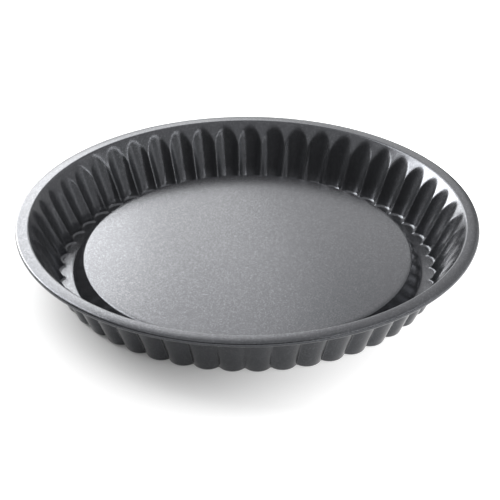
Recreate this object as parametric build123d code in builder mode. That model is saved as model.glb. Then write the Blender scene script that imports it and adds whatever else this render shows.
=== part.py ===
"""Fluted flan pan with a raised centre: one pressed steel blank, its edge rolled around a wire.

Origin: the centre of the flat ring that the pan stands on. +Z is up, and sizes are in millimetres.
The mouth is at the top. The pan comes apart into two pieces:

  pan_shell  the pressed blank: raised centre, trough, fluted wall, plain band, lip and rolled bead
  rim_wire   the round steel wire inside the bead, bent to a ring with its ends butted
"""

import os
from math import atan, atan2, cos, degrees, hypot, pi, radians, sin, tan

from build123d import *

# --- driving dimensions -------------------------------------------------------------------------
sheet = 0.6  # thickness of the blank
height = 38.0  # from the table to the top of the lip
rim_radius = 150.0  # to the outside of the bead

# lip and bead
lip_width = 8.5  # from the outside of the bead in to the band, at the top of the lip
shoulder_radius = 1.75  # rounding from the lip down into the band, on the food side
wire_radius = 1.3
wire_clearance = 0.05  # between the wire and the bead rolled around it
wire_joint_gap = 0.6  # between the wire's two butted ends
bead_sweep = 290.0  # degrees of roll, from the top of the lip round to the cut edge of the blank

# plain band above the flutes
band_angle = 35.4  # from vertical

# flutes, all on the food side of the wall
flute_count = 49
wall_run = 17.0  # how far the flutes travel inward, from the lip down to the trough's floor
flute_top_inset = 0.65  # how far inside the band's mouth the flutes would reach the lip's level
flute_foot_depth = 3.8  # from a flute's deepest line in to the ridges, at the trough's floor
flute_top_depth = 2.05  # the same at the lip's level
groove_foot_rounding = 0.35  # outside, the grooves between flutes seen from above, at the floor
groove_top_rounding = 0.5  # the same at the lip's level
foot_rounding = 2.4  # inside corner between the wall and the trough's floor
foot_bends = 4  # flat bands that make up the foot's rounding

# trough and raised centre
trough_width = 6.7  # floor between the ridges and the centre's flank, corner to corner
centre_rise = 10.4  # above the trough's floor
flank_run = 6.0  # how far the centre's flank travels inward over its rise
centre_shoulder_rounding = 2.0
centre_foot_rounding = 2.5

# --- worked-out places --------------------------------------------------------------------------
roll_radius = wire_radius + wire_clearance  # inside of the bead
bead_radius = roll_radius + sheet
bead_centre = (rim_radius - bead_radius, height - bead_radius)
mouth_radius = rim_radius - lip_width
flute_top_radius = mouth_radius - flute_top_inset
flute_foot_radius = mouth_radius - wall_run
ridge_foot_radius = flute_foot_radius - flute_foot_depth
wall_depth = height - sheet  # lip's level down to the trough's floor
wall_angle = atan((flute_top_radius - flute_foot_radius) / wall_depth)
wall_grow = sheet / cos(wall_angle)  # the wall's thickness measured level
band_tilt = radians(band_angle)


def between(foot, top, level):
    """A size at a level above the table that changes evenly from the trough's floor to the lip."""
    return foot + (top - foot) * (level - sheet) / wall_depth


def around(radius, angle):
    return (radius * cos(angle), radius * sin(angle))


def fluted_outline(level, grow):
    """Closed outline of the food side of the flutes at a level, grown outward by a distance.

    Each flute is one arc, and each ridge between two flutes is a small arc tangent to both.
    """
    depth = between(flute_foot_depth, flute_top_depth, level)
    flute = between(flute_foot_radius, flute_top_radius, level) + grow
    ridge = flute - depth
    rounding = between(groove_foot_rounding, groove_top_rounding, level) + wall_grow - grow
    half_pitch = pi / flute_count

    # the ridge arc's centre, in axes along and across the flute
    ridge_along, ridge_across = around(ridge + rounding, half_pitch)
    gap = flute + rounding - ridge_along
    arc_radius = ((flute - ridge_along) ** 2 + ridge_across**2 - rounding**2) / (2 * gap)
    arc_centre = flute - arc_radius

    # where the two arcs touch
    share = arc_radius / (arc_radius + rounding)
    touch_along = arc_centre + share * (ridge_along - arc_centre)
    touch_across = share * ridge_across
    touch_radius = hypot(touch_along, touch_across)
    touch_angle = atan2(touch_across, touch_along)

    for index in range(flute_count):
        middle = 2 * half_pitch * index
        ThreePointArc(
            around(touch_radius, middle - touch_angle),
            around(flute, middle),
            around(touch_radius, middle + touch_angle),
        )
        ThreePointArc(
            around(touch_radius, middle + touch_angle),
            around(ridge, middle + half_pitch),
            around(touch_radius, middle + 2 * half_pitch - touch_angle),
        )


def fluted_plug(bottom, grow, rounding):
    """Tapered solid as wide as the flutes, from a level up to the lip, with its foot rounded.

    The rounding is a ball rolled round the foot, so each bend's outline is the wall's outline at
    that level, drawn in by the gap between the ball and the wall.
    """
    foot_turn = pi / 2 - wall_angle
    sections = []
    for bend in range(foot_bends + 1):
        turn = foot_turn * bend / foot_bends
        rise = rounding * (1 - cos(turn))
        gap = rise * tan(wall_angle) + rounding * (tan(foot_turn / 2) - sin(turn))
        sections.append((bottom + rise, grow - gap))
    sections.append((height - shoulder_radius, grow))
    with BuildPart() as plug:
        for level, section_grow in sections:
            with BuildSketch(Plane.XY.offset(level)):
                with BuildLine():
                    fluted_outline(level, section_grow)
                make_face()
        loft(ruled=True)
    return plug.part


# --- pan_shell ----------------------------------------------------------------------------------
# The band's cone and the lip meet at the mouth's edge, and a rounding bridges them.
turn = pi / 2 - band_tilt
shoulder_tangent = shoulder_radius * tan(turn / 2)
shoulder_centre = (mouth_radius + shoulder_tangent, height - shoulder_radius)
band_up = (sin(band_tilt), cos(band_tilt))
band_inward = (-cos(band_tilt), sin(band_tilt))
inner_touch = (
    shoulder_centre[0] + shoulder_radius * band_inward[0],
    shoulder_centre[1] + shoulder_radius * band_inward[1],
)
outer_touch = (inner_touch[0] - sheet * band_inward[0], inner_touch[1] - sheet * band_inward[1])
band_top = outer_touch[1]
band_bottom = sheet + foot_rounding


def band_radius(level):
    """Radius of the band's food side at a level above the table."""
    return mouth_radius - (height - level) * tan(band_tilt)


def band_plug(grow):
    """Plain cone as wide as the band, from just above the trough's floor up to the shoulder."""
    with BuildPart() as plug:
        with BuildSketch(Plane.XZ):
            Polygon(
                (0, band_bottom),
                (band_radius(band_bottom) + grow, band_bottom),
                (band_radius(band_top) + grow, band_top),
                (0, band_top),
                align=None,
            )
        revolve(axis=Axis.Z)
    return plug.part


band_grow = sheet / cos(band_tilt)
floor_seam = ridge_foot_radius - trough_width / 2

with BuildPart() as pan_shell:
    # fluted wall and band: the outside, less the inside
    add(fluted_plug(0, wall_grow, foot_rounding + sheet))
    add(band_plug(band_grow))
    add(fluted_plug(sheet, 0, foot_rounding), mode=Mode.SUBTRACT)
    add(band_plug(0), mode=Mode.SUBTRACT)
    Cylinder(
        floor_seam,
        sheet,
        align=(Align.CENTER, Align.CENTER, Align.MIN),
        mode=Mode.SUBTRACT,
    )

    # raised centre, flank and the inner half of the trough's floor, at the blank's thickness
    centre_foot_radius = ridge_foot_radius - trough_width
    centre_radius = centre_foot_radius - flank_run
    centre_top = sheet + centre_rise
    flank_turn = pi / 2 - atan(flank_run / centre_rise)
    under_shift = sheet * tan(flank_turn / 2)
    with BuildSketch(Plane.XZ):
        with BuildLine():
            upper = FilletPolyline(
                (0, centre_top),
                (centre_radius, centre_top),
                (centre_foot_radius, sheet),
                (floor_seam, sheet),
                radius=[centre_shoulder_rounding, centre_foot_rounding],
            )
            lower = FilletPolyline(
                (0, centre_top - sheet),
                (centre_radius - under_shift, centre_top - sheet),
                (centre_foot_radius - under_shift, 0),
                (floor_seam, 0),
                radius=[centre_shoulder_rounding - sheet, centre_foot_rounding + sheet],
            )
            Line(upper @ 0, lower @ 0)
            Line(upper @ 1, lower @ 1)
        make_face()
    revolve(axis=Axis.Z)

    # shoulder, lip and bead
    with BuildSketch(Plane.XZ):
        with BuildLine():
            start_in = (band_radius(band_top), band_top)
            top_in = (shoulder_centre[0], height)
            top_out = (bead_centre[0], height)
            Line(start_in, inner_touch)
            TangentArc(inner_touch, top_in, tangent=band_up)
            Line(top_in, top_out)
            roll_outside = CenterArc(bead_centre, bead_radius, 90, -bead_sweep)
            roll_inside = CenterArc(bead_centre, roll_radius, 90, -bead_sweep)
            Line(roll_outside @ 1, roll_inside @ 1)
            under_in = (shoulder_centre[0], height - sheet)
            Line(roll_inside @ 0, under_in)
            TangentArc(outer_touch, under_in, tangent=band_up)
            Line(outer_touch, start_in)
        make_face()
    revolve(axis=Axis.Z)

pan_shell.part.label = "pan_shell"

# --- rim_wire -----------------------------------------------------------------------------------
wire_turn = 360 - degrees(wire_joint_gap / bead_centre[0])

with BuildPart() as rim_wire:
    with BuildSketch(Plane.XZ):
        with Locations(bead_centre):
            Circle(wire_radius)
    revolve(axis=Axis.Z, revolution_arc=wire_turn)

rim_wire.part.label = "rim_wire"

# --- output -------------------------------------------------------------------------------------
os.makedirs("parts", exist_ok=True)
for piece in (pan_shell, rim_wire):
    export_step(piece.part, f"parts/{piece.part.label}.step")
    print(piece.part.label, len(piece.solids()), "solid", piece.part.bounding_box().size)
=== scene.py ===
from math import atan, atan2, cos, hypot, pi, radians, sin, sqrt, tan

import bmesh
import bpy
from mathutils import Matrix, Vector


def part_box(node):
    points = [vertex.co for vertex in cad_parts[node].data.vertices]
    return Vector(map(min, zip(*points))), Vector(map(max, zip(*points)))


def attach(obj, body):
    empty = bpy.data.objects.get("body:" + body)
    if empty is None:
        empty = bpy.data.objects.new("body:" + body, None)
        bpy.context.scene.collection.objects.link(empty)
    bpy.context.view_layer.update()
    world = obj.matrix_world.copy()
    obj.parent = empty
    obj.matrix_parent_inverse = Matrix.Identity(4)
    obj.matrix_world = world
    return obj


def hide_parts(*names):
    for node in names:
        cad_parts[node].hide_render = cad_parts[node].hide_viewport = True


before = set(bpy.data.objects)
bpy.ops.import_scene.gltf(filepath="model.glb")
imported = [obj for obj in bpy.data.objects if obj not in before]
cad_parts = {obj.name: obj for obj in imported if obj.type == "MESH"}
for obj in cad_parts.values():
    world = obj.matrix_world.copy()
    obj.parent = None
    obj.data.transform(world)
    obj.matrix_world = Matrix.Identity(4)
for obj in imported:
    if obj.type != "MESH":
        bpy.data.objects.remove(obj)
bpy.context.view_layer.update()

bpy.ops.object.select_all(action="DESELECT")
print("frame loaded")


# The food side of the sheet is drawn as one slice, as wide as one flute, row by row from the raised
# centre out to the bead. The slice is copied round, and then the sheet gets its thickness.

pan = {  # metres, and degrees for angles
    "sheet": 0.0006,
    "flutes": 49,
    "stations": (0, 0.17, 0.34, 0.5, 0.65, 0.79, 0.9, 1),  # a flute's middle to the next ridge
    "lipWidth": 0.0085,
    "shoulderRounding": 0.00175,
    "beadRadius": 0.00195,
    "beadSweep": 290,
    "bandAngle": 35.4,  # from vertical
    "wallRun": 0.017,
    "fluteTopInset": 0.00065,
    "fluteFootDepth": 0.0038,
    "fluteTopDepth": 0.00205,
    "ridgeFootRounding": 0.00101,
    "ridgeTopRounding": 0.00116,
    "archRounding": 0.0006,  # how softly the arched flute tops run into the band
    "footRounding": 0.0024,
    "troughWidth": 0.0067,
    "centreRise": 0.0104,
    "flankRun": 0.006,
    "centreShoulderRounding": 0.002,
    "centreFootRounding": 0.0025,
    "capRadius": 0.1,  # the flat middle is one face out to here
    "bendSteps": 5,
    "beadSteps": 18,
    "wallRows": (0.2, 0.42, 0.64, 0.82, 0.91, 0.96, 1),  # from the foot's rounding to the arches
    "bandRows": (0.1, 0.25, 0.5),  # from the arches to the shoulder
    "weldDistance": 0.00001,
    "smoothAngle": 50,
}
shellLow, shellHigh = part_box("pan_shell")
rimHeight = shellHigh[2]
rimRadius = -shellLow[0]
halfPitch = pi / pan["flutes"]
floorLevel = pan["sheet"]
mouthRadius = rimRadius - pan["lipWidth"]
fluteTop = mouthRadius - pan["fluteTopInset"]
fluteFoot = mouthRadius - pan["wallRun"]
wallTilt = atan((fluteTop - fluteFoot) / (rimHeight - floorLevel))
bandTilt = radians(pan["bandAngle"])


def fromFootToLip(footValue, lipValue, level):
    return footValue + (lipValue - footValue) * (level - floorLevel) / (rimHeight - floorLevel)


def bandRadius(level):
    return mouthRadius - (rimHeight - level) * tan(bandTilt)


def fluteRadius(angle, level, inset=0.0):
    # one wide arc for the flute and a small arc for the ridge, each tangent to the other
    flute = fromFootToLip(fluteFoot, fluteTop, level)
    depth = fromFootToLip(pan["fluteFootDepth"], pan["fluteTopDepth"], level)
    ridgeArc = fromFootToLip(pan["ridgeFootRounding"], pan["ridgeTopRounding"], level)
    ridgeMiddle = flute - depth + ridgeArc
    along, across = ridgeMiddle * cos(halfPitch), ridgeMiddle * sin(halfPitch)
    fluteArc = (flute - along) ** 2 + across**2 - ridgeArc**2
    fluteArc /= 2 * (flute + ridgeArc - along)
    fluteMiddle = flute - fluteArc
    reach = (fluteArc - inset) / (fluteArc + ridgeArc)
    touchAngle = atan2(reach * across, fluteMiddle + reach * (along - fluteMiddle))
    if angle < touchAngle:
        return fluteMiddle * cos(angle) + sqrt((fluteArc - inset) ** 2 - (fluteMiddle * sin(angle)) ** 2)
    swing = halfPitch - angle
    return ridgeMiddle * cos(swing) - sqrt((ridgeArc + inset) ** 2 - (ridgeMiddle * sin(swing)) ** 2)


def wallRadius(angle, level):
    # the flutes below the arches and the band above them, blended where they cross
    flute, band = fluteRadius(angle, level), bandRadius(level)
    overlap = max(pan["archRounding"] - abs(flute - band), 0)
    return max(flute, band) + overlap**2 / (4 * pan["archRounding"])


def archLevel(angle):
    # halves the height again and again, until flute and band meet
    low, high = floorLevel, rimHeight
    halvings = 30
    for _ in range(halvings):
        middle = (low + high) / 2
        if fluteRadius(angle, middle) > bandRadius(middle):
            low = middle
        else:
            high = middle
    return low


def addRow(sheet, placeAt):
    # extrudes the last row and moves each station of the new one to its radius and level
    reach = 0.02 * halfPitch  # how near to a station its points lie
    bpy.ops.mesh.extrude_region_move()
    mesh = bmesh.from_edit_mesh(sheet.data)
    row = [vertex.index for vertex in mesh.verts if vertex.select]
    for station in pan["stations"]:
        angle = station * halfPitch
        mesh = bmesh.from_edit_mesh(sheet.data)
        mesh.verts.ensure_lookup_table()
        for index in row:
            vertex = mesh.verts[index]
            offAngle = abs(abs(atan2(vertex.co.y, vertex.co.x)) - angle)
            vertex.select_set(offAngle < reach)
            if vertex.select:
                radiusNow, levelNow = hypot(vertex.co.x, vertex.co.y), vertex.co.z
        bmesh.update_edit_mesh(sheet.data, loop_triangles=False, destructive=False)
        radius, level = placeAt(angle)
        grow = radius / radiusNow
        bpy.ops.transform.resize(value=(grow, grow, 1), center_override=(0, 0, 0))
        bpy.ops.transform.translate(value=(0, 0, level - levelNow))
    mesh = bmesh.from_edit_mesh(sheet.data)
    mesh.verts.ensure_lookup_table()
    for index in row:
        mesh.verts[index].select_set(True)
    mesh.select_flush_mode()
    bmesh.update_edit_mesh(sheet.data, loop_triangles=False, destructive=False)


def addRing(sheet, radius, level):
    addRow(sheet, lambda angle: (radius, level))


def addBend(sheet, middle, bendRadius, startAngle, endAngle, steps):
    # rings round a bend in the profile; angles are from straight out, in the plane of the profile
    for step in range(steps + 1):
        angle = startAngle + (endAngle - startAngle) * step / steps
        addRing(sheet, middle[0] + bendRadius * cos(angle), middle[1] + bendRadius * sin(angle))


def drawSlice():
    topLevel = floorLevel + pan["centreRise"]
    seedSize = 0.001  # merged to one point below
    bpy.ops.mesh.primitive_plane_add(size=seedSize, location=(pan["capRadius"], 0, topLevel))
    sheet = bpy.context.object
    sheet.name = "panSheet"
    bpy.ops.object.transform_apply(location=True, rotation=True, scale=True)
    bpy.ops.object.mode_set(mode="EDIT")
    bpy.ops.mesh.select_mode(type="VERT")
    bpy.ops.mesh.select_all(action="SELECT")
    bpy.ops.mesh.merge(type="CENTER")

    # first row: one point, turned and extruded from ridge to ridge
    stations = [-s for s in reversed(pan["stations"][1:])] + list(pan["stations"])
    bpy.ops.transform.rotate(
        value=stations[0] * halfPitch, orient_axis="Z", center_override=(0, 0, 0)
    )
    for before, after in zip(stations, stations[1:]):
        bpy.ops.mesh.extrude_region_move()
        bpy.ops.transform.rotate(
            value=(after - before) * halfPitch, orient_axis="Z", center_override=(0, 0, 0)
        )
    bpy.ops.mesh.select_all(action="SELECT")

    # raised centre: shoulder, flank and foot
    bendSteps = pan["bendSteps"]
    footCorner = fluteFoot - pan["fluteFootDepth"] - pan["troughWidth"]
    topCorner = footCorner - pan["flankRun"]
    flankTurn = pi / 2 - atan(pan["flankRun"] / pan["centreRise"])
    shoulder, foot = pan["centreShoulderRounding"], pan["centreFootRounding"]
    shoulderStart = topCorner - shoulder * tan(flankTurn / 2)
    footEnd = footCorner + foot * tan(flankTurn / 2)
    addRing(sheet, shoulderStart - shoulder, topLevel)
    shoulderMiddle = (shoulderStart, topLevel - shoulder)
    addBend(sheet, shoulderMiddle, shoulder, pi / 2, pi / 2 - flankTurn, bendSteps)
    addBend(sheet, (footEnd, floorLevel + foot), foot, 1.5 * pi - flankTurn, 1.5 * pi, bendSteps)
    addRing(sheet, footEnd + foot / 2, floorLevel)

    # foot of the flutes: a rounding that follows their outline
    footTurn = pi / 2 - wallTilt
    rounding = pan["footRounding"]
    for step in range(bendSteps + 1):
        turn = footTurn * step / bendSteps
        rise = rounding * (1 - cos(turn))
        inset = rise * tan(wallTilt) + rounding * (tan(footTurn / 2) - sin(turn))
        level = floorLevel + rise
        addRow(sheet, lambda angle: (fluteRadius(angle, level, inset), level))

    # wall up to the arches, then the band above them
    footTop = level
    for share in pan["wallRows"]:
        def wallPlace(angle):
            level = footTop + (archLevel(angle) - footTop) * share
            return wallRadius(angle, level), level
        addRow(sheet, wallPlace)
    shoulderTurn = pi / 2 - bandTilt
    lipRounding = pan["shoulderRounding"]
    lipStart = mouthRadius + lipRounding * tan(shoulderTurn / 2)
    bandTop = rimHeight - lipRounding * tan(shoulderTurn / 2) * cos(bandTilt)
    for share in pan["bandRows"]:
        def bandPlace(angle):
            level = archLevel(angle) + (bandTop - archLevel(angle)) * share
            return wallRadius(angle, level), level
        addRow(sheet, bandPlace)

    # shoulder, lip and bead
    lipMiddle = (lipStart, rimHeight - lipRounding)
    addBend(sheet, lipMiddle, lipRounding, pi / 2 + shoulderTurn, pi / 2, bendSteps)
    bead = pan["beadRadius"]
    addRing(sheet, (lipStart + rimRadius - bead) / 2, rimHeight)
    beadEnd = pi / 2 - radians(pan["beadSweep"])
    addBend(sheet, (rimRadius - bead, rimHeight - bead), bead, pi / 2, beadEnd, pan["beadSteps"])
    return sheet


def makePan():
    sheet = drawSlice()
    bpy.ops.mesh.select_all(action="SELECT")
    fluteCopies = pan["flutes"] - 1
    bpy.ops.mesh.spin(
        steps=fluteCopies,
        dupli=True,
        angle=2 * halfPitch * fluteCopies,
        center=(0, 0, 0),
        axis=(0, 0, 1),
    )
    bpy.ops.mesh.select_all(action="SELECT")
    bpy.ops.mesh.remove_doubles(threshold=pan["weldDistance"])

    # close the flat middle
    capReach = pan["capRadius"] + 10 * pan["weldDistance"]
    mesh = bmesh.from_edit_mesh(sheet.data)
    for vertex in mesh.verts:
        vertex.select_set(hypot(vertex.co.x, vertex.co.y) < capReach)
    mesh.select_flush_mode()
    bmesh.update_edit_mesh(sheet.data)
    bpy.ops.mesh.edge_face_add()
    bpy.ops.mesh.select_all(action="SELECT")
    bpy.ops.mesh.normals_make_consistent(inside=False)
    mesh = bmesh.from_edit_mesh(sheet.data)
    cap = max(mesh.faces, key=lambda face: len(face.verts))
    if cap.normal.z < 0:
        bpy.ops.mesh.flip_normals()
    bpy.ops.object.mode_set(mode="OBJECT")

    thickness = sheet.modifiers.new("sheetThickness", "SOLIDIFY")
    thickness.thickness = pan["sheet"]
    thickness.offset = -1
    thickness.use_even_offset = True
    thickness.use_quality_normals = True
    bpy.ops.object.modifier_apply(modifier=thickness.name)
    bpy.ops.object.shade_smooth_by_angle(angle=radians(pan["smoothAngle"]))
    return sheet


panSheet = makePan()
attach(panSheet, "root")
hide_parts("pan_shell")
print("pan sheet made,", len(panSheet.data.polygons), "faces")


# materials of the coating and of the wire
def newGroup(name, inputs, outputs):
    group = bpy.data.node_groups.new(name, "ShaderNodeTree")
    for socketName, socketType, value in inputs:
        socket = group.interface.new_socket(name=socketName, in_out="INPUT", socket_type=socketType)
        if value is not None:
            socket.default_value = value
    for socketName, socketType in outputs:
        group.interface.new_socket(name=socketName, in_out="OUTPUT", socket_type=socketType)
    return group, group.nodes.new("NodeGroupInput"), group.nodes.new("NodeGroupOutput")


def makeFleckGroup():
    # pale flecks in the coating: small cells, of which the palest show, each by its own amount
    group, given, result = newGroup(
        "coatingFlecks",
        [
            ("Vector", "NodeSocketVector", None),
            ("Fleck Scale", "NodeSocketFloat", 2500.0),
            ("Amount", "NodeSocketFloat", 0.2),
            ("Sparse", "NodeSocketFloat", 0.5),
        ],
        [("Mask", "NodeSocketFloat")],
    )
    nodes, links = group.nodes, group.links
    cells = nodes.new("ShaderNodeTexVoronoi")
    spread = nodes.new("ShaderNodeMapRange")
    scaled = nodes.new("ShaderNodeMath")
    scaled.operation = "MULTIPLY"
    links.new(given.outputs["Vector"], cells.inputs["Vector"])
    links.new(given.outputs["Fleck Scale"], cells.inputs["Scale"])
    links.new(cells.outputs["Color"], spread.inputs["Value"])
    links.new(given.outputs["Sparse"], spread.inputs["From Min"])
    links.new(spread.outputs["Result"], scaled.inputs[0])
    links.new(given.outputs["Amount"], scaled.inputs[1])
    links.new(scaled.outputs["Value"], result.inputs["Mask"])
    return group


coatingLook = {
    "darkColour": (0.055, 0.057, 0.062, 1),
    "fleckColour": (0.24, 0.245, 0.26, 1),
    "fleckScale": 1650.0,  # cells to the metre
    "fleckAmount": 0.26,
    "fleckSparse": 0.55,  # more leaves more cells plain
    "roughness": 0.22,
    "roughnessSpread": 0.04,
    "cloudScale": 60.0,  # of the soft patches in the roughness
    "cloudDetail": 3,
    "metallic": 0.8,
    "peelScale": 1300.0,
    "peelDetail": 2,
    "peelDepth": 0.000003,
}


def makeCoating():
    look = coatingLook
    material = bpy.data.materials.new("darkNonstickCoating")
    material.use_nodes = True
    nodes, links = material.node_tree.nodes, material.node_tree.links
    shader = nodes["Principled BSDF"]
    shader.inputs["Metallic"].default_value = look["metallic"]
    place = nodes.new("ShaderNodeTexCoord")

    flecks = nodes.new("ShaderNodeGroup")
    flecks.node_tree = makeFleckGroup()
    flecks.inputs["Fleck Scale"].default_value = look["fleckScale"]
    flecks.inputs["Amount"].default_value = look["fleckAmount"]
    flecks.inputs["Sparse"].default_value = look["fleckSparse"]
    links.new(place.outputs["Object"], flecks.inputs["Vector"])
    colour = nodes.new("ShaderNodeMix")
    colour.data_type = "RGBA"
    colour.inputs["A"].default_value = look["darkColour"]
    colour.inputs["B"].default_value = look["fleckColour"]
    links.new(flecks.outputs["Mask"], colour.inputs["Factor"])
    links.new(colour.outputs["Result"], shader.inputs["Base Color"])

    cloud = nodes.new("ShaderNodeTexNoise")
    cloud.inputs["Scale"].default_value = look["cloudScale"]
    cloud.inputs["Detail"].default_value = look["cloudDetail"]
    links.new(place.outputs["Object"], cloud.inputs["Vector"])
    rough = nodes.new("ShaderNodeMapRange")
    rough.inputs["To Min"].default_value = look["roughness"] - look["roughnessSpread"] / 2
    rough.inputs["To Max"].default_value = look["roughness"] + look["roughnessSpread"] / 2
    links.new(cloud.outputs["Fac"], rough.inputs["Value"])
    links.new(rough.outputs["Result"], shader.inputs["Roughness"])

    peel = nodes.new("ShaderNodeTexNoise")
    peel.inputs["Scale"].default_value = look["peelScale"]
    peel.inputs["Detail"].default_value = look["peelDetail"]
    links.new(place.outputs["Object"], peel.inputs["Vector"])
    bump = nodes.new("ShaderNodeBump")
    bump.inputs["Distance"].default_value = look["peelDepth"]
    links.new(peel.outputs["Fac"], bump.inputs["Height"])
    links.new(bump.outputs["Normal"], shader.inputs["Normal"])
    return material


wireLook = {
    "colour": (0.5, 0.49, 0.47, 1),
    "metallic": 1.0,
    "roughness": 0.38,
    "drawLines": 900.0,
    "lineDepth": 0.00001,
}


def makeWireSteel():
    look = wireLook
    material = bpy.data.materials.new("drawnWireSteel")
    material.use_nodes = True
    nodes, links = material.node_tree.nodes, material.node_tree.links
    shader = nodes["Principled BSDF"]
    shader.inputs["Base Color"].default_value = look["colour"]
    shader.inputs["Metallic"].default_value = look["metallic"]
    shader.inputs["Roughness"].default_value = look["roughness"]
    place = nodes.new("ShaderNodeTexCoord")
    lines = nodes.new("ShaderNodeTexNoise")
    lines.inputs["Scale"].default_value = look["drawLines"]
    links.new(place.outputs["Object"], lines.inputs["Vector"])
    bump = nodes.new("ShaderNodeBump")
    bump.inputs["Distance"].default_value = look["lineDepth"]
    links.new(lines.outputs["Fac"], bump.inputs["Height"])
    links.new(bump.outputs["Normal"], shader.inputs["Normal"])
    return material


def paint(piece, material):
    piece.data.materials.clear()
    piece.data.materials.append(material)


paint(panSheet, makeCoating())
paint(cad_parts["rim_wire"], makeWireSteel())
print("materials made")


cameraPlace = {  # metres, degrees for angles, and millimetres for the lens
    "turn": -1.07,  # round the pan, so that the flutes stand as they should
    "back": 0.8638,
    "aboveRim": 0.478,
    "tilt": 59.7,  # up from straight down
    "yaw": -0.11,
    "lens": 109.35,
    "nearest": 0.01,
}
boxDistance = 1.6  # metres from the middle of the pan's foot
softBoxes = {
    # metres, watts and degrees; azimuth goes clockwise from straight behind the pan
    "key": {"azimuth": -47, "elevation": 30, "roll": 26, "width": 1.82, "height": 1.34, "power": 55},
    "core": {"azimuth": -54, "elevation": 19, "roll": 26, "width": 1.04, "height": 0.45, "power": 17},
    "edge": {"azimuth": -5, "elevation": 31, "roll": 26, "width": 0.34, "height": 0.5, "power": 1.3},
    "spill": {"azimuth": 0, "elevation": 17, "roll": 0, "width": 0.85, "height": 0.86, "power": 4},
    "fill": {"azimuth": 62, "elevation": 15, "roll": 0, "width": 2.3, "height": 1.16, "power": 8},
    "side": {"azimuth": 117, "elevation": 11, "roll": 0, "width": 1.85, "height": 0.45, "power": 2},
    "strip": {"azimuth": 116, "elevation": 28, "roll": 0, "width": 1.7, "height": 0.12, "power": 5.5},
}
surroundings = {
    "colour": (1, 1, 1, 1),
    "lowGlow": 0.03,  # of the sky near the horizon
    "highGlow": 1.15,  # and overhead
    "skySpan": (20, 38),  # degrees up, between which it brightens
    "backdropGlow": 1.0,  # what the camera sees past the floor's edge; it lights nothing
    "floorSize": 12,
    "floorGap": 0.0003,  # keeps the floor off the pan's foot
    "floorColour": (0.6, 0.6, 0.6, 1),
    "floorRoughness": 0.9,
    # painted light: the floor glows, dim on the left and bright on the right, as if lit more from the
    # right
    "floorLeftGlow": 0.05,
    "floorRightGlow": 1.2,
    "floorGlowSpan": (-0.1, 0.2),  # metres across, between which the floor's painted light brightens
}
turn = radians(cameraPlace["turn"])


def turned(x, y, z):
    return (x * cos(turn) - y * sin(turn), x * sin(turn) + y * cos(turn), z)


def addSoftBox(name, box):
    azimuth, elevation = radians(box["azimuth"]), radians(box["elevation"])
    level = boxDistance * cos(elevation)
    place = turned(level * sin(azimuth), level * cos(azimuth), boxDistance * sin(elevation))
    bpy.ops.object.light_add(type="AREA", location=place)
    light = bpy.context.object
    light.name = name + "SoftBox"
    light.rotation_euler = (pi / 2 - elevation, 0, pi - azimuth + turn)
    light.rotation_euler.rotate_axis("Z", radians(box["roll"]))
    light.data.shape = "RECTANGLE"
    light.data.size = box["width"]
    light.data.size_y = box["height"]
    light.data.energy = box["power"]
    light.visible_camera = False


def setStage():
    floorPlace = (0, 0, -surroundings["floorGap"])
    bpy.ops.mesh.primitive_plane_add(size=surroundings["floorSize"], location=floorPlace)
    floor = bpy.context.object
    floor.name = "paleFloor"
    material = bpy.data.materials.new("paleFloor")
    material.use_nodes = True
    shader = material.node_tree.nodes["Principled BSDF"]
    shader.inputs["Base Color"].default_value = surroundings["floorColour"]
    shader.inputs["Roughness"].default_value = surroundings["floorRoughness"]
    shader.inputs["Emission Color"].default_value = surroundings["colour"]
    nodes, links = material.node_tree.nodes, material.node_tree.links
    place = nodes.new("ShaderNodeTexCoord")
    axes = nodes.new("ShaderNodeSeparateXYZ")
    # painted light: the floor's glow rises from left to right, standing in for light falling more from
    # the right
    glow = nodes.new("ShaderNodeMapRange")
    glow.interpolation_type = "SMOOTHSTEP"
    spanStart, spanEnd = surroundings["floorGlowSpan"]
    glow.inputs["From Min"].default_value = spanStart
    glow.inputs["From Max"].default_value = spanEnd
    glow.inputs["To Min"].default_value = surroundings["floorLeftGlow"]
    glow.inputs["To Max"].default_value = surroundings["floorRightGlow"]
    links.new(place.outputs["Object"], axes.inputs["Vector"])
    links.new(axes.outputs["X"], glow.inputs["Value"])
    links.new(glow.outputs["Result"], shader.inputs["Emission Strength"])
    paint(floor, material)

    world = bpy.data.worlds.new("studio")
    bpy.context.scene.world = world
    world.use_nodes = True
    nodes, links = world.node_tree.nodes, world.node_tree.links
    background = nodes["Background"]
    background.inputs["Color"].default_value = surroundings["colour"]
    direction = nodes.new("ShaderNodeTexCoord")
    axes = nodes.new("ShaderNodeSeparateXYZ")
    glow = nodes.new("ShaderNodeMapRange")
    glow.interpolation_type = "SMOOTHSTEP"
    spanStart, spanEnd = surroundings["skySpan"]
    glow.inputs["From Min"].default_value = sin(radians(spanStart))
    glow.inputs["From Max"].default_value = sin(radians(spanEnd))
    glow.inputs["To Min"].default_value = surroundings["lowGlow"]
    glow.inputs["To Max"].default_value = surroundings["highGlow"]
    links.new(direction.outputs["Generated"], axes.inputs["Vector"])
    links.new(axes.outputs["Z"], glow.inputs["Value"])
    ray = nodes.new("ShaderNodeLightPath")
    backdrop = nodes.new("ShaderNodeMix")
    backdrop.inputs["B"].default_value = surroundings["backdropGlow"]
    links.new(ray.outputs["Is Camera Ray"], backdrop.inputs["Factor"])
    links.new(glow.outputs["Result"], backdrop.inputs["A"])
    links.new(backdrop.outputs["Result"], background.inputs["Strength"])
    for name, box in softBoxes.items():
        addSoftBox(name, box)

    place = turned(0, -cameraPlace["back"], rimHeight + cameraPlace["aboveRim"])
    bpy.ops.object.camera_add(location=place)
    camera = bpy.context.object
    camera.rotation_euler = (radians(cameraPlace["tilt"]), 0, turn + radians(cameraPlace["yaw"]))
    camera.data.lens = cameraPlace["lens"]
    camera.data.clip_start = cameraPlace["nearest"]
    bpy.context.scene.camera = camera
    bpy.context.scene.view_settings.view_transform = "Standard"


setStage()
print("stage set")
